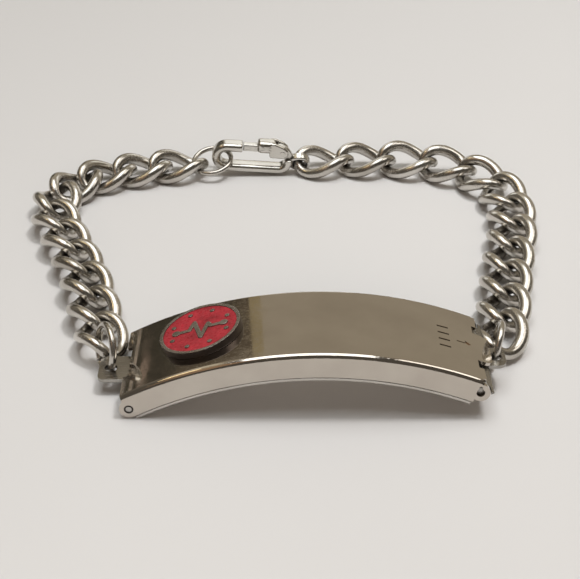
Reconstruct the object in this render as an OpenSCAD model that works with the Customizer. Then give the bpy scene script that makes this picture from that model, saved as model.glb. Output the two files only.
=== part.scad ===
// Medical alert bracelet, closed and lying on a table.
// A curved lidded plate, two curb chains, three split rings and a hook clasp.
// Millimetres, +Z up, origin at the middle of the wrist hollow on the table.

/* [Plate] */
// Length of the plate, end to end across its arch
plate_l = 42; // [38:0.5:48]
// Width of the plate
plate_w = 14.2; // [13.5:0.1:17]
// Radius of the arch on the outside of the plate
plate_r = 48.2; // [44:0.2:60]
// Height of the plate's side, lid and tray together
plate_h = 3.4; // [3.2:0.1:4.5]
// Slope at which the plate lies, right end up
plate_tilt = 3.1; // [0:0.1:4.5]
// Thickness of the steel sheet
sheet_t = 0.4; // [0.3:0.02:0.5]

/* [Lid] */
// Outer radius of the bends along the lid's long edges
bend_r = 0.63; // [0.55:0.01:0.9]
// Radius of the ears round the pins
ear_r = 1.1; // [1:0.02:1.15]
// Width of the tongue at the lid's right end
tongue_w = 5.7; // [4.5:0.1:7]
// How far the tongue stands past the lid's right end
tongue_l = 1.35; // [0.8:0.05:1.5]
// Width of the notches beside the tongue
notch_w = 1.5; // [1:0.1:2]
// Depth of the notches beside the tongue
notch_l = 0.65; // [0.4:0.05:1]
// Width of the notch over the hinge lug
lug_notch_w = 6; // [5.6:0.1:7]
// Depth of the notch over the hinge lug
lug_notch_l = 0.7; // [0.4:0.05:1.2]
// Depth of the engraved marks
engrave_d = 0.12; // [0.05:0.01:0.2]

/* [Tray] */
// Height of the tray's strip that shows below the lid
strip_h = 0.4; // [0.35:0.01:0.6]
// Gap between the lid's edge and the tray
lid_gap = 0.07; // [0.05:0.01:0.1]
// Gap between the lid's flanges and the tray's walls
side_gap = 0.1; // [0.06:0.01:0.15]
// Depth of the tray's walls below the top of the plate
wall_depth = 1.3; // [1:0.05:1.6]
// How far the tray's ends lie inside the plate's ends
tray_inset = 0.6; // [0.4:0.05:1]

/* [Hinge and catch] */
// Radius of the hinge pin and the catch pin
pin_r = 0.425; // [0.35:0.005:0.45]
// Running gap round the hinge pin
pin_gap = 0.07; // [0.03:0.01:0.08]
// Distance of the hinge pin from the plate's left end, along the arch
hinge_inset = 0.45; // [0.3:0.05:0.8]
// Depth of the hinge pin below the top of the plate
hinge_depth = 1.85; // [1.7:0.05:2]
// Distance of the catch pin from the plate's right end, along the arch
catch_inset = 0.05; // [0:0.05:0.4]
// Depth of the catch pin below the top of the plate
catch_depth = 1.55; // [1.55:0.05:1.8]

/* [Lugs] */
// Width of the hinge lug
lug_w = 4.9; // [4:0.1:5.2]
// Reach of the hinge lug past its pin
lug_reach = 4.15; // [3.6:0.05:5]
// Distance of the hinge lug's hole from its pin
lug_hole_at = 2.75; // [2.4:0.05:3]
// Radius of the holes in the lugs
lug_hole_r = 0.75; // [0.65:0.05:0.85]
// Reach of the catch lug's nose past its pin
nose_reach = 1.55; // [1.4:0.05:1.8]
// Width of the catch lug's tab
tab_w = 3.8; // [3.2:0.1:5]
// Reach of the catch lug's tab past its pin
tab_reach = 3.7; // [3.4:0.05:4.2]
// Distance of the tab's hole from its pin
tab_hole_at = 2.5; // [2.3:0.05:2.8]

/* [Badge] */
// Diameter of the badge
badge_d = 9.85; // [8:0.05:11]
// Height of the badge over the lid
badge_h = 0.85; // [0.6:0.05:1.2]
// Width of the badge's rim
rim_w = 0.4; // [0.25:0.05:0.8]
// Depth of the enamel below the rim
enamel_d = 0.1; // [0.06:0.01:0.2]
// Thickness of the enamel
enamel_t = 0.25; // [0.15:0.01:0.4]
// Place of the badge along the arch, from the plate's middle
badge_at = -11.5; // [-13:0.1:-9]
// Place of the badge across the plate, from its middle
badge_back = 0.5; // [0:0.1:1]

/* [Chain] */
// Number of links on the left
left_links = 11; // [9:1:13]
// Number of links on the right
right_links = 12; // [10:1:13]
// Distance from one link to the next
pitch = 6.4; // [6.2:0.05:7]
// Diameter of the links' wire
wire_d = 1.45; // [1.3:0.05:1.55]
// Width of a link
link_w = 6.9; // [6.6:0.1:7.6]
// Gap between one link and the next, pulled straight
link_gap = 0.08; // [0.04:0.01:0.12]
// Twist of a link from its middle to its end
twist = 45; // [38:1:50]

/* [Rings] */
// Outer diameter of the end rings
ring_d = 6.6; // [6.4:0.1:7]
// Wire of the end rings
ring_wire = 0.85; // [0.7:0.05:0.9]
// Outer diameter of the clasp's ring
clasp_ring_d = 6.5; // [6.2:0.1:7]
// Wire of the clasp's ring
clasp_ring_wire = 0.75; // [0.6:0.05:0.8]
// Gap left in a ring by its cut
ring_cut = 0.08; // [0.05:0.01:0.2]

/* [Clasp] */
// Length of the clasp's body, without its eye
clasp_l = 12.4; // [12:0.1:14]
// Height of the clasp's body
clasp_h = 4.6; // [4.4:0.1:5.2]
// Thickness of the clasp's body
clasp_t = 2.5; // [2:0.1:3]
// Outer radius of the eye at the clasp's right end
eye_out = 1.65; // [1.5:0.05:1.9]
// Radius of the eye's hole
eye_in = 1.05; // [0.95:0.05:1.15]
// Width of the bar round the clasp's opening
clasp_bar = 1.3; // [1.1:0.05:1.4]
// Place of the hook's tip along the clasp
hook_tip = 4.6; // [4.2:0.1:5]
// Thickness of the lever's arm
lever_t = 1.2; // [1:0.1:1.4]
// Height of the lever's thumb piece over the clasp's body
thumb_h = 0.6; // [0.3:0.1:1]
// Gap round the lever
lever_gap = 0.1; // [0.08:0.01:0.15]
// Radius of the lever's pivot
pivot_r = 0.4; // [0.35:0.01:0.45]

/* [Hidden] */
$fn = 72;
clearance = 0.05;
// Far past any cut face
past = 30;

// Route of the chain from the hinge lug round the wrist to the catch lug. Each
// point is a share of half the plate's length and a share of the loop's depth.
route_shares = [
    [-1.19, 0.16], [-1.36, 0.39], [-1.56, 0.575], [-1.69, 0.72], [-1.59, 0.85],
    [-1.2, 0.93], [-0.54, 0.975], [0.03, 0.982], [0.52, 0.99], [1.03, 0.958], [1.36, 0.86],
    [1.45, 0.68], [1.325, 0.436], [1.21, 0.2]];

// Each link's share of the pitch, as it lies, and its lean, outer edge up
left_lie = [[1, 8], [1, 8], [1, 10], [1, 9], [1, 9], [0.98, 9], [0.95, 8], [0.88, 6], [0.86, 5],
    [0.86, 5], [0.86, 5]];
right_lie = [[1, 2], [1, 8], [1, 16], [0.97, 16], [0.97, 14.5], [0.96, 12], [0.96, 8], [1, 5], [1, 4],
    [1, 4], [1, 5], [1, 8]];

// Places along the chain, from the hinge lug's hole
left_start = 4.2;
right_end = 4.8;
ring_lead = 5.7;
clasp_lead = -0.2;
clasp_ring_z = 2.4;
// How the rings and the clasp lie
ring_lean = 10;
left_ring_turn = 113;
right_ring_turn = 79;
clasp_pitch = 4;
clasp_yaw = 2;
clasp_ring_tilt = 15;
clasp_ring_rise = 10;
eye_tilt = 30;
eye_t = 1.2;
eye_z = 1.95;

module at_arch(along, depth)
    rotate([0, deg(along), 0]) translate([0, 0, plate_r - depth]) children();

half_arc = plate_r * asin(plate_l / 2 / plate_r) * PI / 180;
// How far the flanges' straight edges stand back at the ends, where the ears take over
left_edge = 0.3;
right_edge = 0.4;
// How much smaller the tray's ears are than the lid's
tray_ear = 0.15;
corner_r = 1.1;
hinge_s = -half_arc + hinge_inset;
catch_s = half_arc - catch_inset;
lid_left = -half_arc + left_edge;
lid_right = half_arc;
flange_right = half_arc - right_edge;
tray_left = -half_arc + tray_inset;
tray_right = half_arc - tray_inset;
flange_h = plate_h - strip_h;

function deg(s) = s / plate_r * 180 / PI;
function arch_x(s, depth) = (plate_r - depth) * sin(deg(s) - plate_tilt);
function arch_z(s, depth) = (plate_r - depth) * cos(deg(s) - plate_tilt);

// The arch's axis, placed so that the plate's left end rests on the table
axis_x = -(arch_x(-half_arc, 0) + arch_x(half_arc, 0)) / 2;
axis_z = -min(arch_z(tray_left, plate_h), arch_z(hinge_s, hinge_depth) - ear_r);
hinge_x = axis_x + arch_x(hinge_s, hinge_depth);
hinge_z = axis_z + arch_z(hinge_s, hinge_depth);
catch_x = axis_x + arch_x(catch_s, catch_depth);
catch_z = axis_z + arch_z(catch_s, catch_depth);

eye_r = pin_r + pin_gap + sheet_t;
lug_z = hinge_z + eye_r - sheet_t / 2;
lug_hole_x = hinge_x - lug_hole_at;
tab_hole_x = catch_x + tab_hole_at;

// The clasp and the links along the route
eye_x = clasp_l + eye_in - 0.1;
link_a = (pitch + wire_d + link_gap) / 2;
link_b = (link_w - wire_d) / 2;
function row(table, i, count, from_end) =
    table[from_end ? len(table) - min(count - i, len(table)) : min(i, len(table) - 1)];
function run_to(table, count, from_end, i) =
    i == 0 ? 0 : run_to(table, count, from_end, i - 1) + pitch * row(table, i - 1, count, from_end)[0];
left_run = left_start + run_to(left_lie, left_links, false, left_links);
clasp_ring_s = left_run - pitch / 2 + ring_lead;
clasp_s = clasp_ring_s + clasp_lead;
right_start = clasp_s + eye_x + link_a - pitch / 2;
chain_run = right_start + run_to(right_lie, right_links, true, right_links) + right_end;

// Points of the route for a depth of loop, eight to a stretch
function spline(a, b, c, d, t) =
    (2 * b + (c - a) * t + (2 * a - 5 * b + 4 * c - d) * t * t + (3 * b - a - 3 * c + d) * t * t * t) / 2;
function route_knots(depth) = concat(
    [[lug_hole_x, 0]], [for (p = route_shares) [p.x * plate_l / 2, p.y * depth]], [[tab_hole_x, 0]]);
function route_line(depth) = let (k = route_knots(depth), n = len(k)) concat(
    [for (i = [0:n - 2], t = [0:0.125:0.99])
        spline(k[max(i - 1, 0)], k[i], k[i + 1], k[min(i + 2, n - 1)], t)],
    [k[n - 1]]);
function run_lengths(p) = [for (i = 0, s = 0; i < len(p); i = i + 1,
    s = s + (i < len(p) ? norm(p[i] - p[i - 1]) : 0)) s];
function last(list) = list[len(list) - 1];
// Depth of loop at which the route is as long as the chain
function fit_depth(low, high, turns) = let (mid = (low + high) / 2)
    turns == 0 ? mid
    : last(run_lengths(route_line(mid))) > chain_run ? fit_depth(low, mid, turns - 1)
    : fit_depth(mid, high, turns - 1);

loop_depth = fit_depth(plate_l / 2, plate_l * 3, 20);
route = route_line(loop_depth);
route_s = run_lengths(route);
route_x = [for (i = [0:len(route) - 1]) [route_s[i], route[i].x]];
route_y = [for (i = [0:len(route) - 1]) [route_s[i], route[i].y]];
plate_y = -loop_depth / 2;
function route_at(s) = [lookup(s, route_x), plate_y + lookup(s, route_y)];
function route_turn(s) = let (d = route_at(s + 0.5) - route_at(s - 0.5)) atan2(d.y, d.x);

// Shapes of the plate

module place_plate()
    translate([axis_x, plate_y, axis_z]) rotate([0, -plate_tilt, 0]) children();

// A profile with x away from the arch's axis and y across, swept along the arch
module arch_sweep(from, to)
    rotate([90, 0, 0]) rotate_extrude(angle = deg(to - from), start = 90 - deg(to)) children();

// A piece of a ring in the side view of the arch
module arch_sector(from, to, deep, shallow) {
    far = plate_r * 2;
    intersection() {
        difference() {
            circle(plate_r - shallow, $fn = 360);
            circle(plate_r - deep, $fn = 360);
        }
        polygon([[0, 0], [far * sin(deg(from)), far * cos(deg(from))],
            [far * sin(deg(to)), far * cos(deg(to))]]);
    }
}

module arch_disc(s, depth, r)
    translate([(plate_r - depth) * sin(deg(s)), (plate_r - depth) * cos(deg(s))]) circle(r);

// A side view made a slab, from one place across the plate to another
module slab(from, to)
    translate([0, to, 0]) rotate([90, 0, 0]) linear_extrude(to - from) children();

module across(s, depth, r, w)
    at_arch(s, depth) rotate([90, 0, 0]) cylinder(h = w, r = r, center = true);

module channel_profile(inset) {
    half = plate_w / 2 - inset;
    bend = bend_r - inset;
    top = plate_r - inset;
    translate([plate_r - flange_h - inset, -half]) square([flange_h - bend, half * 2]);
    translate([plate_r - flange_h - inset, -half + bend]) square([flange_h, (half - bend) * 2]);
    for (side = [-1, 1]) translate([top - bend, side * (half - bend)]) circle(bend);
}

module rounded_plate(l, w, r) {
    translate([0, -w / 2 + r]) square([l, w - 2 * r]);
    translate([0, -w / 2]) square([l - r, w]);
    for (side = [-1, 1]) translate([l - r, side * (w / 2 - r)]) circle(r);
}

module engraving() {
    // Four strokes across the right end, and an arrow that points to it
    for (i = [-1.5:1:1.5]) at_arch(half_arc - 4.6, 0) translate([0, i * 1.35 + 0.2, 0])
        cube([1.4, 0.3, engrave_d * 2], center = true);
    at_arch(half_arc - 2.4, 0) {
        cube([1.2, 0.22, engrave_d * 2], center = true);
        translate([0.5, 0, -engrave_d]) linear_extrude(engrave_d * 2)
            polygon([[0, -0.5], [0.75, 0], [0, 0.5]]);
    }
}

module catch_hole() {
    // Round below and drawn to a point above, where the pin snaps in
    top = catch_depth - 0.85;
    slab(-plate_w, plate_w) {
        arch_disc(catch_s, catch_depth, pin_r + pin_gap);
        arch_disc(catch_s - 0.3, top + 0.2, 0.2);
        r = plate_r - catch_depth;
        a = deg(catch_s);
        translate([r * sin(a), r * cos(a)]) rotate(-a)
            polygon([[-0.5, 0], [0.35, 0.3], [-0.15, 0.72], [-0.45, 0.6]]);
    }
}

module lid() color("silver") place_plate() difference() {
    intersection() {
        arch_sweep(-half_arc - 1.2, half_arc + 2) difference() {
            channel_profile(0);
            channel_profile(sheet_t);
        }
        union() {
            slab(-plate_w, plate_w) {
                arch_sector(lid_left, flange_right, plate_h + 1, -1);
                arch_disc(hinge_s, hinge_depth, ear_r);
                arch_disc(catch_s, catch_depth, ear_r);
            }
            slab(-plate_w / 2 + bend_r, plate_w / 2 - bend_r)
                arch_sector(0, lid_right, sheet_t + 0.05, -1);
            at_arch(half_arc - 1, 0) translate([0, 0, -1.2]) linear_extrude(2)
                rounded_plate(1 + tongue_l, tongue_w, corner_r);
        }
    }
    across(hinge_s, hinge_depth, pin_r + pin_gap, plate_w * 2);
    catch_hole();
    for (side = [-1, 1]) at_arch(half_arc, 0)
        translate([-notch_l, side * (tongue_w + notch_w) / 2 - notch_w / 2, -1])
            cube([notch_l + 2, notch_w, 2]);
    at_arch(lid_left, 0) translate([-2, -lug_notch_w / 2, -1]) cube([2 + lug_notch_l, lug_notch_w, 2]);
    engraving();
}

wall_y = plate_w / 2 - sheet_t - side_gap;
module tray_outline() {
    arch_sector(tray_left, tray_right, plate_h - 0.1, wall_depth);
    arch_disc(hinge_s, hinge_depth, ear_r - tray_ear);
    arch_disc(catch_s, catch_depth, ear_r - tray_ear);
}

module base_tray() color("lightgray") place_plate() difference() {
    union() {
        arch_sweep(tray_left, tray_right)
            translate([plate_r - plate_h, -plate_w / 2]) square([strip_h - lid_gap, plate_w]);
        slab(wall_y - sheet_t, wall_y) tray_outline();
        slab(-wall_y, -wall_y + sheet_t) tray_outline();
    }
    across(hinge_s, hinge_depth, pin_r + pin_gap / 2, plate_w * 2);
    across(catch_s, catch_depth, pin_r + pin_gap / 2, plate_w * 2);
}

module hinge_pin() color("gray") place_plate() across(hinge_s, hinge_depth, pin_r, plate_w - clearance);

module catch_pin() color("gray") place_plate()
    across(catch_s, catch_depth, pin_r, plate_w - 2 * sheet_t - 2 * clearance);

module hinge_lug() color("silver") translate([hinge_x, plate_y, hinge_z]) difference() {
    union() {
        rotate([90, 0, 0]) cylinder(h = lug_w, r = eye_r, center = true);
        translate([0, 0, eye_r - sheet_t]) mirror([1, 0, 0]) linear_extrude(sheet_t)
            rounded_plate(lug_reach, lug_w, 0.9);
    }
    rotate([90, 0, 0]) cylinder(h = lug_w * 2, r = pin_r + pin_gap, center = true);
    translate([-lug_hole_at, 0, 0]) cylinder(h = past, r = lug_hole_r);
}

module catch_lug() {
    inner_w = (wall_y - sheet_t - clearance) * 2;
    ear_clear = ear_r + clearance * 2;
    color("silver") translate([catch_x, plate_y, catch_z]) difference() {
        union() {
            rotate([90, 0, 0]) cylinder(h = inner_w, r = eye_r, center = true);
            rotate([90, 0, 0]) linear_extrude(inner_w, center = true)
                polygon([[0, eye_r], [nose_reach, 0], [0, -eye_r]]);
            rotate([90, 0, 0]) linear_extrude(plate_w, center = true) intersection() {
                polygon([[0, eye_r], [nose_reach, 0], [0, -eye_r]]);
                translate([ear_clear, -past / 2]) square([past, past]);
            }
            translate([0, 0, -sheet_t / 2]) linear_extrude(sheet_t) rounded_plate(tab_reach, tab_w, corner_r);
        }
        rotate([90, 0, 0]) cylinder(h = plate_w * 2, r = pin_r + pin_gap, center = true);
        translate([tab_hole_at, 0, -past / 2]) cylinder(h = past, r = lug_hole_r);
    }
}

// The badge stands on the lid, its foot cut to the arch

enamel_r = badge_d / 2 - rim_w;
module place_badge() place_plate() at_arch(badge_at, 0) translate([0, badge_back, 0]) children();

// A pulse line between two dots, with a ring of small dots round it
module badge_motif(grow) {
    line_w = 0.5 + grow * 2;
    trace = [[-2.6, 0], [-1.3, 0], [-0.75, 1.5], [0.2, -1.9], [0.95, 0.7], [1.3, 0], [2.6, 0]];
    for (i = [0:len(trace) - 2]) {
        d = trace[i + 1] - trace[i];
        translate(trace[i]) {
            circle(line_w / 2, $fn = 24);
            rotate(atan2(d.y, d.x)) translate([0, -line_w / 2]) square([norm(d), line_w]);
        }
    }
    for (side = [-1, 1]) translate([side * 2.9, 0]) circle(0.5 + grow, $fn = 32);
    for (i = [0:7]) rotate(i * 45 + 22.5) translate([3.55, 0]) circle(0.28 + grow, $fn = 24);
}

module badge_disc() color("silver") place_badge() difference() {
    cut_z = plate_r + clearance;
    translate([0, 0, -0.3]) cylinder(h = badge_h + 0.3, r = badge_d / 2);
    translate([0, -badge_back, -plate_r]) rotate([90, 0, 0]) cylinder(h = past, r = cut_z, center = true, $fn = 360);
    difference() {
        translate([0, 0, badge_h - enamel_d - enamel_t]) cylinder(h = past, r = enamel_r);
        translate([0, 0, -past / 2]) linear_extrude(past) badge_motif(0);
    }
}

module badge_enamel() color("crimson") place_badge()
    translate([0, 0, badge_h - enamel_d - enamel_t + 0.02]) linear_extrude(enamel_t) difference() {
        circle(enamel_r - 0.03);
        badge_motif(0.03);
    }

// Chain

stations = 16;
sides = 6;
function turn_x(p, a) = [p.x, p.y * cos(a) - p.z * sin(a), p.y * sin(a) + p.z * cos(a)];
// The middle of the wire at a turn round the link, and the side of the twisted strip there
function wire_at(t) = let (x = link_a * cos(t), a = -twist * x / link_a) turn_x([x, link_b * sin(t), 0], a);
function wire_up(t) = turn_x([0, 0, 1], -twist * cos(t));
function unit(v) = v / norm(v);
function link_skin(lean) = [for (i = [0:stations - 1], j = [0:sides - 1])
    let (t = i * 360 / stations, along = unit(wire_at(t + 1) - wire_at(t - 1)),
        out = unit(cross(along, wire_up(t))), up = cross(out, along), a = j * 360 / sides)
    turn_x(wire_at(t) + wire_d / 2 * (out * cos(a) + up * sin(a)), lean)];
link_faces = [for (i = [0:stations - 1], j = [0:sides - 1], half = [0, 1]) let (
    a = i * sides, b = (i + 1) % stations * sides, j2 = (j + 1) % sides)
    half == 0 ? [a + j, a + j2, b + j2] : [a + j, b + j2, b + j]];
// Height of a link's middle when its lowest wire lies on the table
function link_rest(lean) = wire_d / 2 - min([for (t = [0:5:355]) turn_x(wire_at(t), lean).z]);

module link(s, lie) {
    from = route_at(s);
    to = route_at(s + pitch * lie[0]);
    lean = lie[1];
    middle = (from + to) / 2;
    turn = to - from;
    color("gainsboro") translate([middle.x, middle.y, link_rest(lean)])
        rotate([0, 0, atan2(turn.y, turn.x)])
            polyhedron(link_skin(lean), link_faces, convexity = 4);
}

module left_link(i) link(left_start + run_to(left_lie, left_links, false, i - 1),
    row(left_lie, i - 1, left_links, false));
// Counted from the catch lug, as the left ones are from the hinge lug
module right_link(i) link(right_start + run_to(right_lie, right_links, true, right_links - i),
    row(right_lie, right_links - i, right_links, true));

module split_ring(d, wire) difference() {
    rotate_extrude() translate([(d - wire) / 2, 0]) circle(wire / 2, $fn = 36);
    translate([0, -ring_cut / 2, -past / 2]) cube([past, ring_cut, past]);
}

ring_z = ring_d / 2;
function ring_back(z) = sqrt(pow((ring_d - ring_wire) / 2, 2) - pow(z - ring_z, 2));

module end_ring(x, z, turn) color("darkgray") translate([x, plate_y, z]) rotate([ring_lean, 0, turn])
    translate([ring_back(z), 0, ring_z - z]) rotate([90, 0, 0]) rotate(100) split_ring(ring_d, ring_wire);
module left_ring() end_ring(lug_hole_x, lug_z, left_ring_turn);
module right_ring() end_ring(tab_hole_x, catch_z, right_ring_turn);

// Clasp: x along it from the hook's end, z up from its foot

module place_clasp() {
    p = route_at(clasp_s);
    q = route_at(clasp_s + eye_x);
    translate([q.x, q.y, 0]) rotate([0, clasp_pitch, atan2(q.y - p.y, q.x - p.x) - clasp_yaw])
        translate([-eye_x, 0, 0]) children();
}

module clasp_ring() color("darkgray") {
    p = route_at(clasp_ring_s);
    translate([p.x, p.y, clasp_ring_z]) rotate([0, 0, route_turn(clasp_ring_s)])
        rotate([clasp_ring_tilt, -clasp_ring_rise, 0]) rotate(80) split_ring(clasp_ring_d, clasp_ring_wire);
}

module stadium(l, h) {
    translate([h / 2, 0]) square([l - h, h]);
    for (x = [h / 2, l - h / 2]) translate([x, h / 2]) circle(h / 2);
}

// A side view of the clasp made solid, across its middle
module clasp_slab(w) translate([0, w / 2, 0]) rotate([90, 0, 0]) linear_extrude(w) children();

pivot_x = clasp_l - 1.7;
pivot_z = clasp_h - 1;
cheek_r = 0.9;
tongue_t = 1;
tongue_x = pivot_x - 0.8;
lever_end = tongue_x - 0.2;
lever_start = hook_tip + lever_gap;
thumb_start = hook_tip + 2.2;
cheek_low = clasp_h / 2 + 0.1;

module clasp_body() color("silver") place_clasp() {
    difference() {
        clasp_slab(clasp_t) difference() {
            stadium(clasp_l, clasp_h);
            translate([clasp_bar, clasp_bar]) stadium(clasp_l - 2 * clasp_bar, clasp_h - 2 * clasp_bar);
            translate([hook_tip, clasp_h / 2]) square([tongue_x - hook_tip, past]);
        }
        for (side = [-1, 1])
            translate([lever_end, side > 0 ? tongue_t / 2 : -past - tongue_t / 2, cheek_low])
                cube([pivot_x + cheek_r + lever_gap - lever_end, past, past]);
    }
    translate([pivot_x, 0, pivot_z]) rotate([90, 0, 0])
        cylinder(h = clasp_t - 2 * clearance, r = pivot_r, center = true);
    translate([eye_x, 0, eye_z]) rotate([90 + eye_tilt, 0, 0]) difference() {
        cylinder(h = eye_t, r = eye_out, center = true);
        cylinder(h = past, r = eye_in, center = true);
    }
}

module clasp_lever() color("silver") place_clasp() {
    clasp_slab(lever_t) translate([lever_start, clasp_h - clasp_bar + lever_gap])
        square([thumb_start + 1 - lever_start, clasp_bar - 2 * lever_gap]);
    difference() {
        clasp_slab(clasp_t) union() {
            translate([thumb_start, clasp_h - clasp_bar]) square([lever_end - thumb_start, clasp_bar + thumb_h]);
            translate([lever_end - 1, pivot_z - cheek_r]) square([pivot_x - lever_end + 1, cheek_r * 2]);
            translate([pivot_x, pivot_z]) circle(cheek_r);
        }
        clasp_slab(tongue_t + 2 * lever_gap) translate([lever_end, 0]) square([past, past]);
        translate([pivot_x, 0, pivot_z]) rotate([90, 0, 0])
            cylinder(h = past, r = pivot_r + clearance, center = true);
    }
}

left_names = [for (i = [1:left_links]) str("left_link_", i)];
right_names = [for (i = [1:right_links]) str("right_link_", i)];

lid();
base_tray();
hinge_pin();
catch_pin();
hinge_lug();
catch_lug();
badge_disc();
badge_enamel();
left_ring();
right_ring();
clasp_ring();
clasp_body();
clasp_lever();
for (i = [1:left_links]) left_link(i);
for (i = [1:right_links]) right_link(i);
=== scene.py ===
import math

import bmesh
import bpy
import numpy as np
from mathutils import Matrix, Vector


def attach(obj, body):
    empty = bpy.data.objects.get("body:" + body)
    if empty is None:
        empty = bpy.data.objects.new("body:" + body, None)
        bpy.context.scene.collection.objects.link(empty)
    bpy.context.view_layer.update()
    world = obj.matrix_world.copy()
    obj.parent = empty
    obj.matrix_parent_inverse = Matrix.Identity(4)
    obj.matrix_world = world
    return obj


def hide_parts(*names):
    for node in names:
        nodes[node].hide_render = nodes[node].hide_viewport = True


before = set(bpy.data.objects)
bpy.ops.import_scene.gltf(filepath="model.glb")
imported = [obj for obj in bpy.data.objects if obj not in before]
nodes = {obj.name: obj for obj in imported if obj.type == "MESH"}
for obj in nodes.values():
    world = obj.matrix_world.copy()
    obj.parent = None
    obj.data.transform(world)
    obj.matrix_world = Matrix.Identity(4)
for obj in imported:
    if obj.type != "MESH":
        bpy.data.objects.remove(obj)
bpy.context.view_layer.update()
mm = 0.001  # the sizes below are in millimetres unless a note says metres
tiny = 1e-9  # keeps a length that is divided by away from 0


def unit(v):
    return v / np.linalg.norm(v, axis=-1, keepdims=True)


def gridMesh(name, points, closeU=False, closeV=False, mapped=False):
    # A grid of points [u, v] becomes quads between each point and its next ones in u and v
    nu, nv = points.shape[:2]
    spanU, spanV = nu if closeU else nu - 1, nv if closeV else nv - 1
    a, b = np.meshgrid(np.arange(spanU), np.arange(spanV), indexing="ij")
    a2, b2 = (a + 1) % nu, (b + 1) % nv
    faces = np.stack([a * nv + b, a2 * nv + b, a2 * nv + b2, a * nv + b2], -1).reshape(-1, 4)
    mesh = bpy.data.meshes.new(name)
    mesh.vertices.add(nu * nv)
    mesh.vertices.foreach_set("co", points.reshape(-1).astype(np.float32))
    mesh.loops.add(faces.size)
    mesh.loops.foreach_set("vertex_index", faces.reshape(-1).astype(np.int32))
    mesh.polygons.add(len(faces))
    mesh.polygons.foreach_set("loop_start", np.arange(0, faces.size, 4, dtype=np.int32))
    mesh.polygons.foreach_set("use_smooth", np.ones(len(faces), bool))
    if mapped:  # u runs along the wire and v round it, both in shares of the whole
        ua, va, ub, vb = a / spanU, b / spanV, (a + 1) / spanU, (b + 1) / spanV
        corner = np.stack([np.stack([ua, va], -1), np.stack([ub, va], -1),
                           np.stack([ub, vb], -1), np.stack([ua, vb], -1)], 2)
        layer = mesh.uv_layers.new(name="wireMap")
        layer.data.foreach_set("uv", corner.reshape(-1).astype(np.float32))
    mesh.update(calc_edges=True)
    mesh.validate()
    return mesh


def meshPoints(mesh):
    co = np.empty(len(mesh.vertices) * 3, np.float32)
    mesh.vertices.foreach_get("co", co)
    return co.reshape(-1, 3).astype(float)


def tubeGrid(centre, along, upHint, radius, sides):
    # Points at radius r round each centre: centre + r (out cos a + up sin a), out = along x upHint
    out = unit(np.cross(along, upHint))
    up = np.cross(out, along)
    a = np.linspace(0, 2 * math.pi, sides, endpoint=False)
    r = np.broadcast_to(radius, centre.shape[:1])[:, None, None]
    ring = out[:, None] * np.cos(a)[None, :, None] + up[:, None] * np.sin(a)[None, :, None]
    return centre[:, None] + r * ring


def addPiece(name, mesh, material, body, slotName, *replaced):
    piece = bpy.data.objects.new(name, mesh)
    bpy.context.scene.collection.objects.link(piece)
    mesh.materials.clear()
    mesh.materials.append(material)
    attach(piece, body)
    if replaced:
        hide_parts(*replaced)


def newMaterial(name):
    material = bpy.data.materials.new(name)
    material.use_nodes = True
    tree = material.node_tree
    return material, tree, tree.nodes["Principled BSDF"]


def newGroup(name, inputs, outputs):
    group = bpy.data.node_groups.new(name, "ShaderNodeTree")
    for label, kind in inputs:
        group.interface.new_socket(name=label, in_out="INPUT", socket_type=kind)
    for label, kind in outputs:
        group.interface.new_socket(name=label, in_out="OUTPUT", socket_type=kind)
    return group, group.nodes.new("NodeGroupInput"), group.nodes.new("NodeGroupOutput")


def put(tree, kind, links=(), **values):
    # One node: plain values go on its properties or sockets, links are (socket, source) pairs
    node = tree.nodes.new(kind)
    for key, value in values.items():
        if hasattr(node, key):
            setattr(node, key, value)
        else:
            node.inputs[key.replace("_", " ")].default_value = value
    for socket, source in links:
        tree.links.new(source, node.inputs[socket])
    return node


def mathNode(tree, operation, a, b=0.0, clamp=False):
    node = put(tree, "ShaderNodeMath", operation=operation, use_clamp=clamp)
    for socket, value in ((0, a), (1, b)):
        if isinstance(value, (int, float)):
            node.inputs[socket].default_value = value
        else:
            tree.links.new(value, node.inputs[socket])
    return node.outputs[0]


def mixColor(tree, factor, a, b):
    # Sockets 0, 6 and 7 of a Mix node set to RGBA are its factor and its two colours
    node = put(tree, "ShaderNodeMix", data_type="RGBA")
    for socket, value in ((0, factor), (6, a), (7, b)):
        if isinstance(value, tuple):
            node.inputs[socket].default_value = (*value, 1)
        else:
            tree.links.new(value, node.inputs[socket])
    return node.outputs[2]


def spread(tree, value, low, high, toLow=0.0, toHigh=1.0):
    node = put(tree, "ShaderNodeMapRange", [("Value", value)], From_Min=low, From_Max=high,
               To_Min=toLow, To_Max=toHigh)
    return node.outputs[0]


def noise(tree, at, scale, detail, rough=0.5):
    node = put(tree, "ShaderNodeTexNoise", [("Vector", at)], Scale=scale, Detail=detail, Roughness=rough)
    return node.outputs[0]


def objectPlace(tree):
    return put(tree, "ShaderNodeTexCoord").outputs["Object"]


# The ranges are a mask's own low and high, then what they become where that isn't 0 and 1.
# Reaches and bump depths are in metres.
steelMarks = dict(
    smudge=dict(scale=140.0, detail=3.0, rough=0.55), dullRange=(0.35, 0.7),
    haze=dict(scale=420.0, detail=4.0, rough=0.6), hazeRough=(0.35, 0.75, -0.03, 0.09),
    hair=dict(scale=9000.0, detail=1.0), hairTops=(0.66, 0.74),
    hairRuns=((0.12, 0.05), (-0.5, 0.07), (1.2, 0.06)),  # each run's turn in radians, then its stretch
    recessReach=0.0011, recessSamples=6, recessRange=(0.75, 0.2), recessPatches=(0.3, 0.65, 0.6, 1.0),
    scratchRough=0.25, recessRough=0.3, edgeSamples=4, hazeBump=0.25, bump=0.25, bumpDepth=0.00002)


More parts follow.
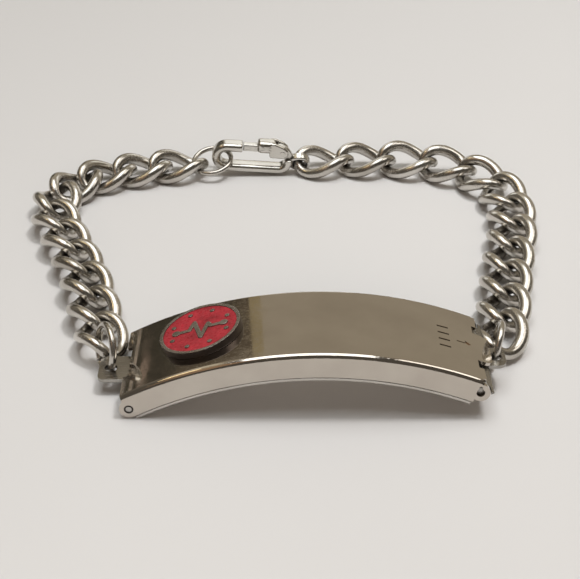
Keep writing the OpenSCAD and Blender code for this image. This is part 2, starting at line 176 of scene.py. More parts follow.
def makeSteelFinishAndShade():
    # Smudges, hairline scratches, and grime with painted shade in the recesses, for every steel piece
    marks = steelMarks
    t, given, result = newGroup(
        "steelFinishAndShade",
        [("Bright", "NodeSocketColor"), ("Dull", "NodeSocketColor"), ("Grime_and_shade", "NodeSocketColor"),
         ("Polish", "NodeSocketFloat"), ("Scratches", "NodeSocketFloat"), ("Recess", "NodeSocketFloat"),
         ("Edge", "NodeSocketFloat")],
        [("Color", "NodeSocketColor"), ("Roughness", "NodeSocketFloat"), ("Normal", "NodeSocketVector")])
    given = given.outputs
    at = objectPlace(t)
    smudge = noise(t, at, **marks["smudge"])
    haze = noise(t, at, **marks["haze"])
    lines = []
    for turn, stretch in marks["hairRuns"]:
        run = put(t, "ShaderNodeMapping", [("Vector", at)], Rotation=(0.0, 0.0, turn),
                  Scale=(stretch, 1.0, 1.0))
        lines.append(spread(t, noise(t, run.outputs[0], **marks["hair"]), *marks["hairTops"]))
    scratch = mathNode(t, "MAXIMUM", mathNode(t, "MAXIMUM", lines[0], lines[1]), lines[2])
    scratch = mathNode(t, "MULTIPLY", scratch, given["Scratches"])
    # Ambient occlusion darkens the recesses toward the grime colour: part grime, part painted shade
    hidden = put(t, "ShaderNodeAmbientOcclusion", samples=marks["recessSamples"],
                 Distance=marks["recessReach"])
    recess = spread(t, hidden.outputs["AO"], *marks["recessRange"])
    recess = mathNode(t, "MULTIPLY", recess, spread(t, haze, *marks["recessPatches"]))
    recess = mathNode(t, "MULTIPLY", recess, given["Recess"], clamp=True)
    tone = mixColor(t, spread(t, smudge, *marks["dullRange"]), given["Bright"], given["Dull"])
    tone = mixColor(t, recess, tone, given["Grime_and_shade"])
    t.links.new(tone, result.inputs["Color"])
    rough = mathNode(t, "ADD", given["Polish"], spread(t, haze, *marks["hazeRough"]))
    rough = mathNode(t, "ADD", rough, mathNode(t, "MULTIPLY", scratch, marks["scratchRough"]))
    rough = mathNode(t, "ADD", rough, mathNode(t, "MULTIPLY", recess, marks["recessRough"]), clamp=True)
    t.links.new(rough, result.inputs["Roughness"])
    edge = mathNode(t, "MULTIPLY", given["Edge"], mm)
    soft = put(t, "ShaderNodeBevel", [("Radius", edge)], samples=marks["edgeSamples"])
    height = mathNode(t, "SUBTRACT", mathNode(t, "MULTIPLY", haze, marks["hazeBump"]), scratch)
    bump = put(t, "ShaderNodeBump", [("Height", height), ("Normal", soft.outputs[0])],
               Strength=marks["bump"], Distance=marks["bumpDepth"])
    t.links.new(bump.outputs[0], result.inputs["Normal"])
    return t


steelFinishAndShade = makeSteelFinishAndShade()

# polish is the roughness, recess how far grime and painted shade darken the corners, edge the width of a
# soft edge
steelLooks = {
    "plateSteel": dict(bright=(0.58, 0.55, 0.51), dull=(0.50, 0.47, 0.43), grime_and_shade=(0.06, 0.045, 0.035),
                       polish=0.13, scratches=0.35, recess=0.7, edge=0.12),
    "lidSteel": dict(bright=(0.59, 0.54, 0.48), dull=(0.52, 0.47, 0.415), grime_and_shade=(0.06, 0.045, 0.035),
                     polish=0.055, scratches=0.3, recess=0.15, edge=0.0),
    "chainSteel": dict(bright=(0.66, 0.63, 0.585), dull=(0.46, 0.43, 0.385), grime_and_shade=(0.06, 0.052, 0.044),
                       polish=0.21, scratches=0.2, recess=0.9, edge=0.0),
    # The lugs take a darker copy of the same steel: painted shade
    "shadedLugSteel": dict(bright=(0.40, 0.38, 0.35), dull=(0.24, 0.225, 0.205), grime_and_shade=(0.03, 0.025, 0.02),
                     polish=0.18, scratches=0.4, recess=1.0, edge=0.12),
    "claspSteel": dict(bright=(0.70, 0.68, 0.64), dull=(0.56, 0.53, 0.48), grime_and_shade=(0.04, 0.03, 0.025),
                       polish=0.19, scratches=0.25, recess=0.8, edge=0.0),
    "badgeSteel": dict(bright=(0.66, 0.615, 0.575), dull=(0.50, 0.455, 0.425), grime_and_shade=(0.035, 0.028, 0.024),
                       polish=0.24, scratches=0.3, recess=0.5, edge=0.1),
    "pinSteel": dict(bright=(0.55, 0.53, 0.50), dull=(0.40, 0.38, 0.35), grime_and_shade=(0.04, 0.03, 0.025),
                     polish=0.2, scratches=0.3, recess=0.8, edge=0.1),
}


def makeSteel(name, look):
    material, t, shader = newMaterial(name)
    finishAndShade = put(t, "ShaderNodeGroup", node_tree=steelFinishAndShade)
    for key, value in look.items():
        finishAndShade.inputs[key.capitalize()].default_value = (*value, 1) if isinstance(value, tuple) else value
    shader.inputs["Metallic"].default_value = 1.0
    for output, socket in (("Color", "Base Color"), ("Roughness", "Roughness"), ("Normal", "Normal")):
        t.links.new(finishAndShade.outputs[output], shader.inputs[socket])
    return material


steels = {name: makeSteel(name, look) for name, look in steelLooks.items()}
# Painted shade, with some oxide, on the badge's upright side
badgeSide = dict(axis=(-0.309, 0.0, 0.951), turned=(0.75, 0.35), tone=(0.135, 0.112, 0.102), rough=0.32)


def shadeBadgeSide():
    # The badge's upright side is darker and rougher, part oxide and part painted shade: the less a face
    # looks along the badge's axis, the darker it is
    t = steels["badgeSteel"].node_tree
    shader = t.nodes["Principled BSDF"]
    finishAndShade = shader.inputs["Base Color"].links[0].from_node
    normal = put(t, "ShaderNodeTexCoord").outputs["Normal"]
    facing = put(t, "ShaderNodeVectorMath", [(0, normal)], operation="DOT_PRODUCT")
    facing.inputs[1].default_value = badgeSide["axis"]
    side = spread(t, mathNode(t, "ABSOLUTE", facing.outputs["Value"]), *badgeSide["turned"])
    tone = mixColor(t, side, finishAndShade.outputs["Color"], badgeSide["tone"])
    rough = mathNode(t, "MULTIPLY", side, badgeSide["rough"])
    rough = mathNode(t, "MAXIMUM", finishAndShade.outputs["Roughness"], rough)
    t.links.new(tone, shader.inputs["Base Color"])
    t.links.new(rough, shader.inputs["Roughness"])


shadeBadgeSide()

# Red glass with deeper clouds, pale specks and a painted shade line along its rims, where the glass
# meets metal. The reach and the bump depth are in metres.
enamelLook = dict(
    red=(0.50, 0.028, 0.045), deep=(0.24, 0.012, 0.02), speck=(0.62, 0.10, 0.12),
    cloud=dict(scale=500.0, detail=4.0, rough=0.65), deepRange=(0.35, 0.7),
    grain=dict(scale=3500.0, detail=2.0), speckRange=(0.62, 0.75, 0.0, 0.6),
    rimShadeReach=0.0004, rimShadeRange=(0.85, 0.4, 0.0, 0.8), samples=6,
    roughRange=(0.3, 0.7, 0.22, 0.42), coat=0.4, coatRough=0.15, bump=0.3, bumpDepth=0.00003)


def makeEnamel():
    look = enamelLook
    material, t, shader = newMaterial("redEnamel")
    at = objectPlace(t)
    cloud = noise(t, at, **look["cloud"])
    grain = noise(t, at, **look["grain"])
    # Ambient occlusion near the metal walls: a painted shade line along the rims
    rimShade = put(t, "ShaderNodeAmbientOcclusion", samples=look["samples"], Distance=look["rimShadeReach"])
    tone = mixColor(t, spread(t, cloud, *look["deepRange"]), look["red"], look["deep"])
    tone = mixColor(t, spread(t, grain, *look["speckRange"]), tone, look["speck"])
    tone = mixColor(t, spread(t, rimShade.outputs["AO"], *look["rimShadeRange"]), tone, look["deep"])
    t.links.new(tone, shader.inputs["Base Color"])
    t.links.new(spread(t, grain, *look["roughRange"]), shader.inputs["Roughness"])
    shader.inputs["Coat Weight"].default_value = look["coat"]
    shader.inputs["Coat Roughness"].default_value = look["coatRough"]
    bump = put(t, "ShaderNodeBump", [("Height", grain)], Strength=look["bump"], Distance=look["bumpDepth"])
    t.links.new(bump.outputs[0], shader.inputs["Normal"])
    return material


enamel = makeEnamel()
print("materials made")

# swell is how much fuller the strands are than the ends, twist is in degrees
link = dict(wire=1.48, swell=0.15, slimWire=1.4, width=6.9, step=6.4, gap=0.08, twist=45.0,
            stations=96, sides=28, nudge=0.01)
linkA = (link["step"] + link["wire"] + link["gap"]) / 2 * mm
linkB = (link["width"] - link["wire"]) / 2 * mm


def linkGrid(wire, swell):
    # Wire's middle: an oval (a cos t, b sin t) in a strip turned about x by -twist cos t
    t = np.linspace(0, 2 * math.pi, link["stations"], endpoint=False)

    def turnAt(t):
        return -math.radians(link["twist"]) * np.cos(t)

    def wireAt(t):
        turn, v = turnAt(t), linkB * np.sin(t)
        return np.stack([linkA * np.cos(t), v * np.cos(turn), v * np.sin(turn)], -1)

    turn = turnAt(t)
    up = np.stack([0 * turn, -np.sin(turn), np.cos(turn)], -1)
    along = unit(wireAt(t + link["nudge"]) - wireAt(t - link["nudge"]))
    radius = wire / 2 * mm * (1 + swell * np.sin(t) ** 2)
    return tubeGrid(wireAt(t), along, up, radius, link["sides"])


def makeLinks():
    # Each link lies along the three main directions of its CAD node's points
    full, slim = linkGrid(link["wire"], link["swell"]), linkGrid(link["slimWire"], 0.0)
    for name in sorted(n for n in nodes if "_link_" in n):
        points = meshPoints(nodes[name].data)
        middle = points.mean(0)
        axes = np.linalg.svd(points - middle, full_matrices=False)[2]
        axes[2] = np.cross(axes[0], axes[1])
        side, number = name.split("_link_")
        piece = side + "Link" + number
        # The link beside the lid's hinge stays slim, clear of the open lid
        shape = slim if piece == "leftLink1" else full
        addPiece(piece, gridMesh(piece, middle + shape @ axes, True, True, mapped=True),
                 steels["chainSteel"], "frame", "chain_steel", name)


makeLinks()
print("links made")

rings = {
    "left_ring": dict(piece="leftRing", wire=0.85),
    "right_ring": dict(piece="rightRing", wire=0.85),
    "clasp_ring": dict(piece="claspRing", wire=0.75),
}
# The wire's cut ends: a loop of tipShare of its size, then all but a point. Points of the CAD that
# agree to that many decimals of a metre count once.
ringWire = dict(stations=120, sides=28, tipShare=0.8, pointShare=0.001, tipReach=0.06, decimals=8)


def ringGrid(name, wire):
    # A circle through the wire's middle, swept from one side of the cut round to the other
    points = np.unique(meshPoints(nodes[name].data).round(ringWire["decimals"]), axis=0)
    middle = points.mean(0)
    normal = np.linalg.svd(points - middle, full_matrices=False)[2][2]
    flatX = unit(np.cross(normal, [0.0, 0.0, 1.0]))
    flatY = np.cross(normal, flatX)
    p = np.stack([(points - middle) @ flatX, (points - middle) @ flatY], -1)
    centre = (p.max(0) + p.min(0)) / 2
    # The cut is the widest step between the points' angles round the ring
    angle = np.sort(np.arctan2(p[:, 1] - centre[1], p[:, 0] - centre[0]))
    steps = np.diff(np.append(angle, angle[0] + 2 * math.pi))
    last = steps.argmax()
    start, stop = angle[(last + 1) % len(angle)], angle[last]
    if stop < start:
        stop += 2 * math.pi
    radius = np.hypot(p[:, 0] - centre[0], p[:, 1] - centre[1]).max() - wire / 2 * mm
    spin = np.linspace(start, stop, ringWire["stations"])
    out = np.cos(spin)[:, None] * flatX + np.sin(spin)[:, None] * flatY
    along = -np.sin(spin)[:, None] * flatX + np.cos(spin)[:, None] * flatY
    # Both ends are drawn in to a rounded rim and closed on their middle
    pick = np.concatenate([[0, 0], np.arange(len(spin)), [-1, -1]])
    size = np.full(len(pick), wire / 2 * mm)
    size[[0, -1]] *= ringWire["pointShare"]
    size[[1, -2]] *= ringWire["tipShare"]
    shift = np.zeros(len(pick))
    shift[2], shift[-3] = ringWire["tipReach"] * mm, -ringWire["tipReach"] * mm
    path = middle + centre[0] * flatX + centre[1] * flatY + radius * out[pick] + along[pick] * shift[:, None]
    return tubeGrid(path, along[pick], np.broadcast_to(normal, path.shape), size, ringWire["sides"])


for nodeName, spec in rings.items():
    ring = gridMesh(spec["piece"], ringGrid(nodeName, spec["wire"]), False, True, mapped=True)
    addPiece(spec["piece"], ring, steels["chainSteel"], "frame", "chain_steel", nodeName)
print("rings made")

# The lid is an arch of the given radius about an axis across the bracelet, turned back by tilt
# degrees. It is cut at every step along the arch, and the roll at its left end is in degrees.
lid = dict(radius=48.2, tilt=3.1, axis=(2.3462, -28.7342, -39.4766), half=7.1, bend=0.63, sheet=0.4,
           cutFrom=-21.9, cutTo=22.9, step=0.5, rollFrom=-18.6, rollTo=-21.0, roll=9.0,
           nearFlat=0.03, nearBend=0.07, nearSheet=0.08, facing=0.75, slack=0.001,
           weld=1e-6, cutSlack=1e-7)  # these two in metres
lidBendRadius = lid["radius"] - lid["bend"]  # where the bends to the flanges have their middle
lidBendAcross = lid["half"] - lid["bend"]


def archPlace(points):
    # Each point's place along the arch s, its radius r from the arch's axis, its place across y
    # and its turn about the axis
    x, y, z = (points / mm - np.array(lid["axis"])).T
    turn = np.arctan2(x, z)
    return (turn + math.radians(lid["tilt"])) * lid["radius"], np.hypot(x, z), y, turn


def cutLid():
    # The CAD lid, cut across at every step, so that its flat chords can follow the arch
    mesh = bpy.data.meshes.new("lidShell")
    b = bmesh.new()
    b.from_mesh(nodes["lid"].data)
    bmesh.ops.remove_doubles(b, verts=b.verts, dist=lid["weld"])
    for s in np.arange(lid["cutFrom"], lid["cutTo"], lid["step"]):
        turn = s / lid["radius"] - math.radians(lid["tilt"])
        bmesh.ops.bisect_plane(b, geom=b.verts[:] + b.edges[:] + b.faces[:], dist=lid["cutSlack"],
                               plane_co=np.array(lid["axis"]) * mm,
                               plane_no=(math.cos(turn), 0, -math.sin(turn)))
    bmesh.ops.triangulate(b, faces=b.faces)
    b.normal_update()
    b.to_mesh(mesh)
    b.free()
    return mesh


def toTrueArch(points):
    # Points close to the sheet's outer or inner face go on to it: on the top to the face's radius,
    # and in the bends to the face's distance from the bend's middle
    _, r, y, turn = archPlace(points)
    flatTop = np.abs(y) < lidBendAcross + lid["slack"]
    for true in (lid["radius"], lid["radius"] - lid["sheet"]):
        r = np.where(flatTop & (np.abs(r - true) < lid["nearFlat"]), true, r)
    dr, dy = r - lidBendRadius, np.abs(y) - lidBendAcross
    bent = (dr > -lid["slack"]) & (dy > -lid["slack"])
    size = np.maximum(np.hypot(dr, dy), tiny)
    for true in (lid["bend"], lid["bend"] - lid["sheet"]):
        near = bent & (np.abs(size - true) < lid["nearBend"])
        r = np.where(near, lidBendRadius + dr / size * true, r)
        y = np.where(near, np.sign(y) * (lidBendAcross + dy / size * true), y)
    return np.stack([r * np.sin(turn), y, r * np.cos(turn)], -1) * mm + np.array(lid["axis"]) * mm


def sheetNormal(at, rolled):
    # The outward normal of the bent sheet at each point, and the point's distance from the middle
    # of the bends; rolled turns the normals at the left end down, as if the sheet rolled over its pin
    s, r, y, turn = archPlace(at)
    dr = np.maximum(r - lidBendRadius, 0.0)
    dy = np.maximum(np.abs(y) - lidBendAcross, 0.0)
    size = np.hypot(dr, dy)
    outward, across = dr / np.maximum(size, tiny), dy / np.maximum(size, tiny)
    if rolled:
        share = np.clip((s - lid["rollFrom"]) / (lid["rollTo"] - lid["rollFrom"]), 0, 1)
        turn = turn - math.radians(lid["roll"]) * share * share * (3 - 2 * share)
    return np.stack([outward * np.sin(turn), across * np.sign(y), outward * np.cos(turn)], -1), size


def makeLid():
    mesh = cutLid()
    points = toTrueArch(meshPoints(mesh))
    mesh.vertices.foreach_set("co", points.reshape(-1).astype(np.float32))
    mesh.update()
    corners = np.empty(len(mesh.loops), np.int32)
    mesh.loops.foreach_get("vertex_index", corners)
    faceNormal = np.empty(len(mesh.polygons) * 3, np.float32)
    mesh.polygons.foreach_get("normal", faceNormal)
    faceNormal = faceNormal.reshape(-1, 3).astype(float)
    # Triangles on the sheet's two faces take its own curve for their corners' normals
    middle = points[corners].reshape(-1, 3, 3).mean(1)
    plain, size = sheetNormal(middle, False)
    facing = (plain * faceNormal).sum(-1)
    outside = (np.abs(size - lid["bend"]) < lid["nearSheet"]) & (facing > lid["facing"])
    inside = (np.abs(size - (lid["bend"] - lid["sheet"])) < lid["nearSheet"]) & (facing < -lid["facing"])
    cornerNormal = np.repeat(faceNormal, 3, axis=0)
    outer, inner = sheetNormal(points[corners], True)[0], -sheetNormal(points[corners], False)[0]
    cornerNormal = np.where(np.repeat(outside, 3)[:, None], outer, cornerNormal)
    cornerNormal = np.where(np.repeat(inside, 3)[:, None], inner, cornerNormal)
    mesh.polygons.foreach_set("use_smooth", np.ones(len(mesh.polygons), bool))
    mesh.normals_split_custom_set(unit(cornerNormal).tolist())
    addPiece("lidShell", mesh, steels["lidSteel"], "lid", "plate_steel", "lid")


makeLid()
print("lid made")

# In the clasp's own frame x runs from the hook to the eye, y is across and z is up. pivot is where
# pivotAt comes in the bracelet, across is the clasp's y there, and pitch is in degrees.
clasp = dict(
    pivot=(-2.43692, 27.6509, 3.77609), across=(-0.01277, 0.99992, 0.0), pitch=4.0,
    pivotAt=(10.7, 0.0, 3.6), length=12.4, height=4.6, bar=1.3, thick=2.5, barCorner=0.6, hookTip=4.6,
    tongueAt=9.9, tongue=1.0, tongueCorner=0.2, tongueTuck=12.0, cheekLow=2.4,
    eyeAt=(13.35, 0.0, 1.95), eyeIn=1.05, eyeOut=1.65, eyeThick=1.2, eyeTilt=30.0, eyeCorner=0.27,
    pinRadius=0.42, pinHalf=1.3, pinEdge=0.12, pinSides=40, endDepth=0.12, endShare=0.82,
    steps=dict(tip=8, bend=28, foot=16, rise=16, tongue=4),  # points along each stretch of the path
    weld=2e-7)  # in metres
# The lever's parts: outline in x and z, radius of its corners, edge radius; gap is half the space
# between the cheeks, which the arm fills
lever = dict(
    gap=0.6,
    arm=dict(points=[(4.7, 3.4), (7.6, 3.4), (7.6, 4.5), (4.7, 4.5)], corner=0.12, edge=0.2),
    block=dict(points=[(6.8, 3.3), (9.7, 3.3), (9.7, 5.2), (6.8, 5.2)], corner=0.7, edge=0.75),
    cheek=dict(points=[(8.7, 2.7), (10.9, 2.7), (11.6, 3.2), (11.6, 4.0), (10.9, 4.55), (9.6, 5.1),
                       (8.7, 5.1)], corner=0.5, edge=0.3))


def claspPlace(local):
    # From the clasp's own frame to the bracelet's
    across = unit(np.array(clasp["across"]))
    level = np.cross(across, [0.0, 0.0, 1.0])
    a = math.radians(clasp["pitch"])
    along = level * math.cos(a) - np.array([0, 0, math.sin(a)])
    turned = np.stack([along, across, np.cross(along, across)])
    return (np.array(clasp["pivot"]) + (local - np.array(clasp["pivotAt"])) @ turned) * mm


def roundedLoop(width, height, corner, count=8):
    # A rectangle's outline with quarter circles at its corners, counter-clockwise
    a = np.linspace(0, math.pi / 2, count)
    quarter = np.stack([np.cos(a), np.sin(a)], -1) * corner
    parts = []
    for k, (sx, sy) in enumerate(((1, 1), (-1, 1), (-1, -1), (1, -1))):
        c, s = math.cos(k * math.pi / 2), math.sin(k * math.pi / 2)
        middle = [sx * (width / 2 - corner), sy * (height / 2 - corner)]
        parts.append(quarter @ np.array([[c, s], [-s, c]]) + middle)
    return np.concatenate(parts)


def sweep(path, width, height, corner):
    # A rounded rectangle carried along a path in the side view: path + x across + y out,
    # out = along x across
    across = np.array([0.0, 1.0, 0.0])
    out = np.cross(unit(np.gradient(path, axis=0)), across)
    loop = roundedLoop(width, height, corner)
    return path[:, None] + loop[:, :1] * across + loop[:, 1:] * out[:, None]


def arc(cx, cz, r, a, b, count):
    # Points (cx + r cos t, cz + r sin t) in the side view, t from a to b degrees
    t = np.radians(np.linspace(a, b, count))
    return np.stack([cx + r * np.cos(t), 0 * t, cz + r * np.sin(t)], -1)


def closeEnds(grid):
    # Rounds a tube's two ends: a slightly smaller loop, then every point at the middle
    share, depth = clasp["endShare"], clasp["endDepth"]
    first, last = grid[0].mean(0), grid[-1].mean(0)
    ahead, behind = unit(first - grid[1].mean(0)), unit(last - grid[-2].mean(0))
    start = [np.broadcast_to(first, grid[0].shape), first + (grid[0] - first) * share]
    stop = [last + (grid[-1] - last) * share, np.broadcast_to(last, grid[-1].shape)]
    grid = grid.copy()
    grid[0] -= ahead * depth
    grid[-1] -= behind * depth
    return np.concatenate([np.array(start), grid, np.array(stop)])


def claspBar():
    # The bar runs from the hook's tip round the left end, along the foot and up the right end,
    # and the tongue goes on from there between the lever's cheeks
    steps, mid = clasp["steps"], clasp["bar"] / 2
    r = clasp["height"] / 2 - mid
    top, left, right = clasp["height"] - mid, clasp["height"] / 2, clasp["length"] - clasp["height"] / 2
    risen = math.degrees(math.asin((clasp["cheekLow"] - left) / r))
    tip = np.linspace([clasp["hookTip"], 0, top], [left, 0, top], steps["tip"])[:-1]
    bend = arc(left, left, r, 90, 270, steps["bend"])
    foot = np.linspace([left, 0, mid], [right, 0, mid], steps["foot"])[1:-1]
    path = np.concatenate([tip, bend, foot, arc(right, left, r, -90, risen, steps["rise"])])
    bar = closeEnds(sweep(path, clasp["thick"], clasp["bar"], clasp["barCorner"]))
    rise = arc(right, left, r, risen - clasp["tongueTuck"], 90, steps["rise"])
    over = np.linspace([right, 0, top], [clasp["tongueAt"], 0, top], steps["tongue"])[1:]
    path = np.concatenate([rise, over])
    tongue = closeEnds(sweep(path, clasp["tongue"], clasp["bar"], clasp["tongueCorner"]))
    return bar, tongue


def turnedRing(centre, normal, rIn, rOut, thick, corner, turns=48):
    # A rounded rectangle carried round a circle: centre + out(a) r - normal h
    loop = roundedLoop(rOut - rIn, thick, corner)
    a = np.linspace(0, 2 * math.pi, turns, endpoint=False)
    u = unit(np.cross(normal, [1.0, 0.0, 0.0]))
    v = np.cross(normal, u)
    out = np.cos(a)[:, None] * u + np.sin(a)[:, None] * v
    r = (rIn + rOut) / 2 + loop[None, :, :1]
    return centre + out[:, None] * r - loop[None, :, 1:] * normal


def slabSolid(outline, low, high, edge, count=6):
    # An outline in the side view made solid across y. Its rim is rounded by a quarter circle,
    # drawn in by edge (1 - sin a) at edge (1 - cos a) from each face, and the faces close on
    # the outline's middle
    ahead = np.roll(outline, -1, 0) - np.roll(outline, 1, 0)
    outward = unit(np.stack([ahead[:, 1], -ahead[:, 0]], -1))
    a = np.linspace(0, math.pi / 2, count)
    inset, rise = edge * (1 - np.sin(a)), edge * (1 - np.cos(a))
    flat = outline - outward * np.concatenate([inset, inset[::-1]])[:, None, None]
    middle = np.broadcast_to(outline.mean(0), (1, *outline.shape))
    flat = np.concatenate([middle, flat, middle])
    y = np.concatenate([[low], low + rise, high - rise[::-1], [high]])
    return np.stack([flat[..., 0], np.broadcast_to(y[:, None], flat.shape[:2]), flat[..., 1]], -1)


def roundOutline(points, radius, count=6, most=0.45):
    # A polygon's corners, each swapped for a curve that leaves its sides where an arc of the
    # radius would, or at most that share along them: (1-t)^2 start + 2t(1-t) corner + t^2 stop
    points = np.array(points, float)
    t = np.linspace(0, 1, count)[:, None]
    result = []
    for before, p, after in zip(np.roll(points, 1, 0), points, np.roll(points, -1, 0)):
        da, db = unit(before - p), unit(after - p)
        half = math.acos(np.clip(da @ db, -1, 1)) / 2
        shorter = min(np.linalg.norm(before - p), np.linalg.norm(after - p))
        reach = min(radius / math.tan(half), most * shorter)
        result.append((1 - t) ** 2 * (p + da * reach) + 2 * t * (1 - t) * p + t ** 2 * (p + db * reach))
    return np.concatenate(result)


def leverSlab(part, low, high):
    return slabSolid(roundOutline(part["points"], part["corner"]), low, high, part["edge"])


def claspMesh(name, parts):
    # Several closed grids in one mesh; the flag says that a grid closes round itself in u too
    b = bmesh.new()
    for grid, closeU in parts:
        mesh = gridMesh("part", claspPlace(grid.reshape(-1, 3)).reshape(grid.shape), closeU, True)
        b.from_mesh(mesh)
        bpy.data.meshes.remove(mesh)
    bmesh.ops.remove_doubles(b, verts=b.verts, dist=clasp["weld"])
    bmesh.ops.recalc_face_normals(b, faces=b.faces)
    joined = bpy.data.meshes.new(name)
    b.to_mesh(joined)
    b.free()
    return joined


def makeClasp():
    bar, tongue = claspBar()
    a = math.radians(clasp["eyeTilt"])
    eye = turnedRing(np.array(clasp["eyeAt"]), np.array([0.0, -math.cos(a), -math.sin(a)]),
                     clasp["eyeIn"], clasp["eyeOut"], clasp["eyeThick"], clasp["eyeCorner"])
    circle = np.radians(np.linspace(0, 360, clasp["pinSides"], endpoint=False))
    disc = clasp["pinRadius"] * np.stack([np.cos(circle), np.sin(circle)], -1)
    pin = slabSolid(np.array(clasp["pivotAt"])[[0, 2]] + disc, -clasp["pinHalf"], clasp["pinHalf"],
                    clasp["pinEdge"])
    body = claspMesh("claspBody", [(bar, False), (tongue, False), (eye, True), (pin, False)])
    addPiece("claspBody", body, steels["claspSteel"], "frame", "clasp_steel", "clasp_body")
    half, gap = clasp["thick"] / 2, lever["gap"]
    slabs = [leverSlab(lever["arm"], -gap, gap), leverSlab(lever["block"], -half, half),
             leverSlab(lever["cheek"], gap, half), leverSlab(lever["cheek"], -half, -gap)]
    leverMesh = claspMesh("claspLever", [(slab, False) for slab in slabs])
    addPiece("claspLever", leverMesh, steels["claspSteel"], "lever", "clasp_steel", "clasp_lever")


makeClasp()
print("clasp made")

# CAD nodes that show as they are, with their materials
carried = {
    "base_tray": steels["plateSteel"], "hinge_lug": steels["shadedLugSteel"], "catch_lug": steels["shadedLugSteel"],
    "hinge_pin": steels["pinSteel"], "catch_pin": steels["pinSteel"], "badge_disc": steels["badgeSteel"],
    "badge_enamel": enamel,
}
for nodeName, material in carried.items():
    nodes[nodeName].data.materials.clear()
    nodes[nodeName].data.materials.append(material)

# A dark ring of painted shade with a crumbly speckle, in the gap round each end of the hinge pin: reach is
# from the middle of the pin
pinGap = dict(at=(-19.6947, -28.7342, 1.29743), reach=7.1, inner=0.36, outer=0.55, thick=0.06, corner=0.02,
              dark=(0.012, 0.010, 0.008), pale=(0.05, 0.042, 0.034), crumb=dict(scale=6000.0, detail=3.0),
              roughRange=(0.3, 0.7, 0.6, 0.9))


def makePinGapShade():
    material, t, shader = newMaterial("pinGapShade")
    crumb = noise(t, objectPlace(t), **pinGap["crumb"])
    t.links.new(mixColor(t, crumb, pinGap["dark"], pinGap["pale"]), shader.inputs["Base Color"])
    t.links.new(spread(t, crumb, *pinGap["roughRange"]), shader.inputs["Roughness"])
    return material


grime_and_shade = makePinGapShade()
# Painted shade: a thin dark ring over each end of the pin's gap
for name, side in (("pinGapShadeFront", -1), ("pinGapShadeBack", 1)):
    ring = turnedRing(np.array(pinGap["at"]) + [0, side * pinGap["reach"], 0], np.array([0.0, 1.0, 0.0]),
                      pinGap["inner"], pinGap["outer"], pinGap["thick"], pinGap["corner"]) * mm
    addPiece(name, gridMesh(name, ring, True, True), grime_and_shade, "frame", "plate_steel")
print("CAD nodes finished")

# All places from here on are in metres. The floor's colour darkens toward the far left, a painted falloff of
# the light: fade is how much y counts against x, then where the darkening starts and stops.
table = dict(size=1.5, front=(0.736, 0.727, 0.724), back=(0.655, 0.645, 0.640), fade=(0.55, -0.01, 0.11),
             cloud=dict(scale=9.0, detail=3.0), cloudRange=(0.3, 0.7), cloudShade=0.975,
             roughRange=(0.3, 0.7, 0.75, 0.85))


def makeFloor():
    material, t, shader = newMaterial("paleTable")
    at = objectPlace(t)
    cloud = noise(t, at, **table["cloud"])
    shaded = tuple(c * table["cloudShade"] for c in table["front"])
    tone = mixColor(t, spread(t, cloud, *table["cloudRange"]), table["front"], shaded)
    where = put(t, "ShaderNodeSeparateXYZ", [(0, at)]).outputs
    # The darker far left is a painted falloff of the light
    weight, start, stop = table["fade"]
    back = mathNode(t, "SUBTRACT", mathNode(t, "MULTIPLY", where["Y"], weight), where["X"])
    tone = mixColor(t, spread(t, back, start, stop), tone, table["back"])
    t.links.new(tone, shader.inputs["Base Color"])
    t.links.new(spread(t, cloud, *table["roughRange"]), shader.inputs["Roughness"])
    x, y = np.meshgrid([-table["size"], table["size"]], [-table["size"], table["size"]], indexing="ij")
    mesh = gridMesh("floor", np.stack([x, y, 0 * x], -1))
    mesh.materials.append(material)
    floor = bpy.data.objects.new("floor", mesh)
    bpy.context.scene.collection.objects.link(floor)


# wallRange and sideRange say over which of a direction's y and x the room goes from dark to wall.
# A quarter of the wall's light is left at the far left.
room = dict(wall=(0.395, 0.348, 0.272), dark=(0.105, 0.094, 0.080), wallRange=(-0.1, 0.55),
            sideRange=(-0.62, -0.40, 0.25, 1.0))


def makeRoom():
    # A warm wall behind the bracelet fades to a dark room at its left and behind the camera
    world = bpy.data.worlds.new("room")
    bpy.context.scene.world = world
    world.use_nodes = True
    t = world.node_tree
    toward = put(t, "ShaderNodeTexCoord").outputs["Generated"]
    parts = put(t, "ShaderNodeSeparateXYZ", [(0, toward)]).outputs
    lit = mathNode(t, "MULTIPLY", spread(t, parts["Y"], *room["wallRange"]),
                   spread(t, parts["X"], *room["sideRange"]))
    t.links.new(mixColor(t, lit, room["dark"], room["wall"]), t.nodes["Background"].inputs["Color"])


# Lamps that aren't seen give no reflection of their own
lights = {
    "skyLight": dict(place=(-0.03, 0.0, 0.9), size=(0.8, 0.55), power=3.9, color=(0.97, 0.995, 1.0)),
    "topLamp": dict(place=(0.26, 0.01, 0.85), size=(0.14, 0.14), power=3.0, color=(1.0, 0.985, 0.97),
                    seen=False),
    "frontFill": dict(place=(0.05, -0.8, 0.30), size=(0.9, 0.25), power=1.8, color=(1.0, 0.83, 0.70),
                      seen=False),
}


def areaLight(name, place, size, power, color, seen=True):
    # Each lamp looks at the middle of the bracelet
    light = bpy.data.lights.new(name, "AREA")
    light.shape = "RECTANGLE"
    light.size, light.size_y = size
    light.energy = power
    light.color = color
    thing = bpy.data.objects.new(name, light)
    bpy.context.scene.collection.objects.link(thing)
    thing.location = place
    thing.rotation_euler = Vector(-unit(np.array(place, float))).to_track_quat("-Z", "Y").to_euler()
    thing.visible_camera = False
    thing.visible_glossy = seen


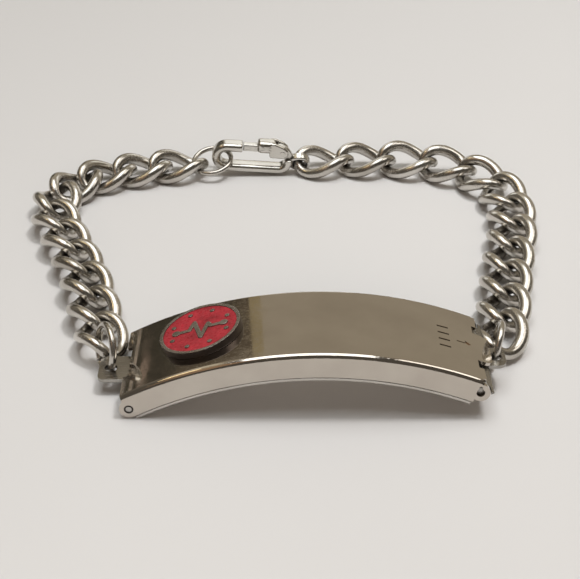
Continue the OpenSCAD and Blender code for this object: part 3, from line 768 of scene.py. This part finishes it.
# Glowing cards stand round the bracelet and show only in its reflections. far is their distance
# and corners are (bearing, height) in degrees, the bearing from straight behind, to the left
# below 0.
cards = {
    "darkSofa": dict(far=1.30, color=(0.060, 0.054, 0.040),
                     corners=[(-13.7, 29.5), (-40, 16.5), (-40, -2), (-13.7, -2)]),
    "sofaTop": dict(far=1.35, color=(0.125, 0.100, 0.070),
                    corners=[(-14.1, 32.8), (-40, 20.0), (-40, 10), (-14.1, 20)]),
    "brownDoor": dict(far=1.25, color=(0.30, 0.232, 0.182),
                      corners=[(-28.5, 18.1), (-34.5, 17.0), (-36.0, 14.0), (-28.5, 13.6)]),
    "tanStrip": dict(far=1.24, color=(0.40, 0.34, 0.275),
                     corners=[(-30.0, 9.6), (-38.0, 9.6), (-38.0, 6.2), (-30.0, 6.2)]),
    "duskStrip": dict(far=1.24, color=(0.30, 0.26, 0.215),
                      corners=[(-30.0, 2.6), (-39.0, 2.6), (-39.0, -1), (-30.0, -1)]),
    "goldStrip": dict(far=1.28, color=(0.34, 0.28, 0.165),
                      corners=[(-11.9, 33), (-14.4, 33), (-14.7, 22), (-12.5, 22)]),
    "goldLamp": dict(far=1.0, color=(3.4, 2.6, 1.4),
                     corners=[(-84, 60), (-96, 60), (-95, 49), (-85, 49)]),
    "creamBand": dict(far=1.05, color=(0.72, 0.65, 0.51),
                      corners=[(-34, 47), (-84, 67), (-84, 50), (-36, 36)]),
    "tanBand": dict(far=1.05, color=(0.55, 0.43, 0.29),
                    corners=[(-96, 66), (-124, 63), (-122, 48), (-96, 50)]),
    "brownBand": dict(far=1.05, color=(0.38, 0.25, 0.155),
                      corners=[(-124, 62), (-160, 60), (-156, 30), (-124, 36)]),
    "rightGlow": dict(far=1.0, color=(2.3, 2.2, 2.05),
                      corners=[(60, 66), (120, 66), (110, 46), (70, 46)]),
}
# A small card close behind the clasp lights its flat tops and is missed by the lid's reflections:
# its corners are plain places
claspCard = dict(corners=[(-0.017, 0.060, 0.036), (0.015, 0.060, 0.036), (0.015, 0.060, 0.014),
                          (-0.017, 0.060, 0.014)], color=(1.25, 1.24, 1.18))


def farCorners(far, corners):
    # far (sin b cos h, cos b cos h, sin h) for bearing b and height h
    bearing, height = np.radians(np.array(corners, float)).T
    level = np.cos(height)
    return far * np.stack([np.sin(bearing) * level, np.cos(bearing) * level, np.sin(height)], -1)


def addCard(name, corners, color):
    # The four corners go round the card, so the grid's second row takes them backwards
    mesh = gridMesh(name, corners[[[0, 1], [3, 2]]])
    material, _, shader = newMaterial(name)
    shader.inputs["Base Color"].default_value = (0, 0, 0, 1)
    shader.inputs["Specular IOR Level"].default_value = 0.0
    shader.inputs["Emission Color"].default_value = (*color, 1)
    shader.inputs["Emission Strength"].default_value = 1.0
    mesh.materials.append(material)
    thing = bpy.data.objects.new(name, mesh)
    thing.visible_camera = thing.visible_shadow = thing.visible_diffuse = False
    bpy.context.scene.collection.objects.link(thing)


makeFloor()
makeRoom()
for name, spec in lights.items():
    areaLight(name, **spec)
for name, spec in cards.items():
    addCard(name, farCorners(spec["far"], spec["corners"]), spec["color"])
addCard("claspCard", np.array(claspCard["corners"]), claspCard["color"])

# The camera looks straight along y, tilt degrees up from straight down
view = dict(place=(-0.00129, -0.16254, 0.09368), tilt=58.91, lens=85.02, sensor=36.0, nearest=0.01)


def makeCamera():
    camera = bpy.data.cameras.new("camera")
    camera.lens = view["lens"]
    camera.sensor_width = view["sensor"]
    camera.sensor_fit = "HORIZONTAL"
    camera.clip_start = view["nearest"]
    cameraObject = bpy.data.objects.new("camera", camera)
    cameraObject.location = view["place"]
    cameraObject.rotation_euler = (math.radians(view["tilt"]), 0, 0)
    bpy.context.scene.collection.objects.link(cameraObject)
    bpy.context.scene.camera = cameraObject
    bpy.context.scene.view_settings.view_transform = "Standard"


makeCamera()
print("studio made")
